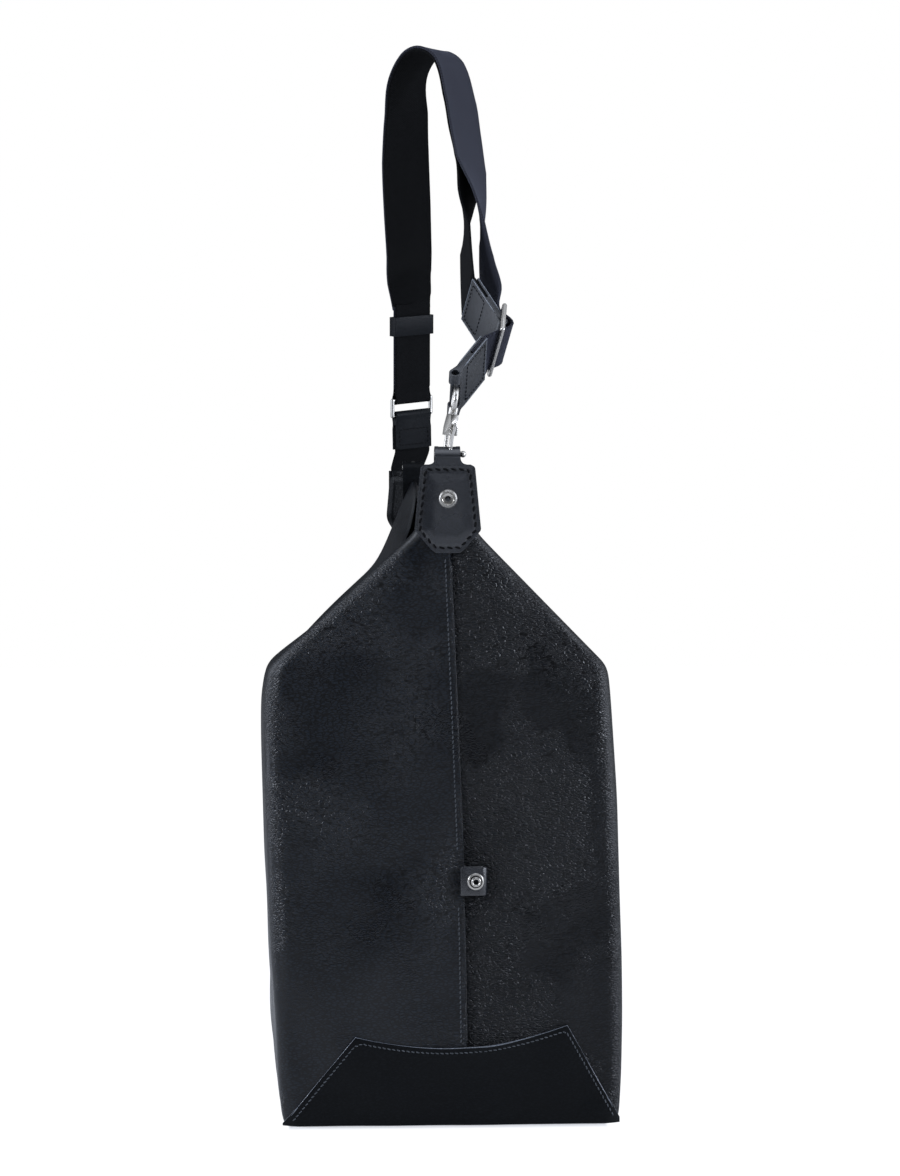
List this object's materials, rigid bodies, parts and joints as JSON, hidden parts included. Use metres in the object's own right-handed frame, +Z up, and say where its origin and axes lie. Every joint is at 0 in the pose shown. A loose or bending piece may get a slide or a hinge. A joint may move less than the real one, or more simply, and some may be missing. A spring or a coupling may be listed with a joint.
{
  "type": "shoulder bag",
  "caption": "Soft leather shoulder bag, house-shaped at its ends, with an open lens-shaped mouth, looped end tabs and a twisted webbing strap on swivel snap hooks.",
  "frame": {"origin": "middle of the flat underside of the base", "axes": "+Z up, +Y from the near narrow end to the far one along the bag, +X to the right seen from the near end"},
  "size_m": [0.242, 0.5184, 0.7836],
  "materials": {
    "leather": "satin pebbled",
    "base_leather": "satin smooth",
    "strap_leather": "satin",
    "webbing": "woven twill",
    "lining_cloth": "woven",
    "board": "matte",
    "nickel": "polished nickel",
    "snap_metal": "polished nickel"
  },
  "bodies": {
    "bag": {"left_body_panel": "leather", "right_body_panel": "leather", "base_panel": "base_leather", "base_board": "board", "lining": "lining_cloth", "left_mouth_facing": "leather", "right_mouth_facing": "leather", "near_end_tab": "leather", "far_end_tab": "leather", "near_tab_pin": "nickel", "far_tab_pin": "nickel", "near_stud_socket": "snap_metal", "far_stud_socket": "snap_metal", "near_socket_cap": "snap_metal", "far_socket_cap": "snap_metal", "near_side_loop": "leather", "far_side_loop": "leather", "near_side_stud": "snap_metal", "far_side_stud": "snap_metal"},
    "strap": {"long_webbing": "webbing", "near_chape": "strap_leather", "slider_frame": "nickel", "slider_tab": "strap_leather", "far_ring": "nickel", "far_ring_tab": "strap_leather", "short_webbing": "webbing", "far_chape": "strap_leather", "near_hook_eye": "nickel", "far_hook_eye": "nickel"},
    "keeper": {"keeper": "strap_leather"},
    "near_hook": {"near_hook_body": "nickel", "near_gate_pin": "nickel", "near_gate_spring": "nickel"},
    "near_gate": {"near_hook_gate": "nickel"},
    "far_hook": {"far_hook_body": "nickel", "far_gate_pin": "nickel", "far_gate_spring": "nickel"},
    "far_gate": {"far_hook_gate": "nickel"}
  },
  "joints": [
    {"name": "strap_swing", "type": "hinge", "parent": "bag", "child": "strap", "pos_m": [0, 0, 0.4714], "axis": [0, 1, 0], "range_deg": [-10, 10]},
    {"name": "near_hook_swivel", "type": "hinge", "parent": "strap", "child": "near_hook", "pos_m": [0, -0.2237, 0.4714], "axis": [0.1392, 0, 0.9903], "range_deg": [-8, 8]},
    {"name": "near_gate_hinge", "type": "hinge", "parent": "near_hook", "child": "near_gate", "pos_m": [0.00332, -0.22614, 0.48861], "axis": [0.9305, 0.342, -0.1308], "range_deg": [0, 22], "stiffness_Nm_per_rad": 0.02, "springref_deg": -11.46},
    {"name": "far_hook_swivel", "type": "hinge", "parent": "strap", "child": "far_hook", "pos_m": [0, 0.2237, 0.4714], "axis": [0, 0.766, -0.6428], "range_deg": [-8, 8]},
    {"name": "far_gate_hinge", "type": "hinge", "parent": "far_hook", "child": "far_gate", "pos_m": [0, 0.23878, 0.46214], "axis": [1, 0, 0], "range_deg": [0, 22], "stiffness_Nm_per_rad": 0.02, "springref_deg": -11.46},
    {"name": "keeper_slide", "type": "slide", "parent": "strap", "child": "keeper", "axis": [0.0074, 0.162, -0.9868], "range_m": [-0.004, 0.03]}
  ]
}
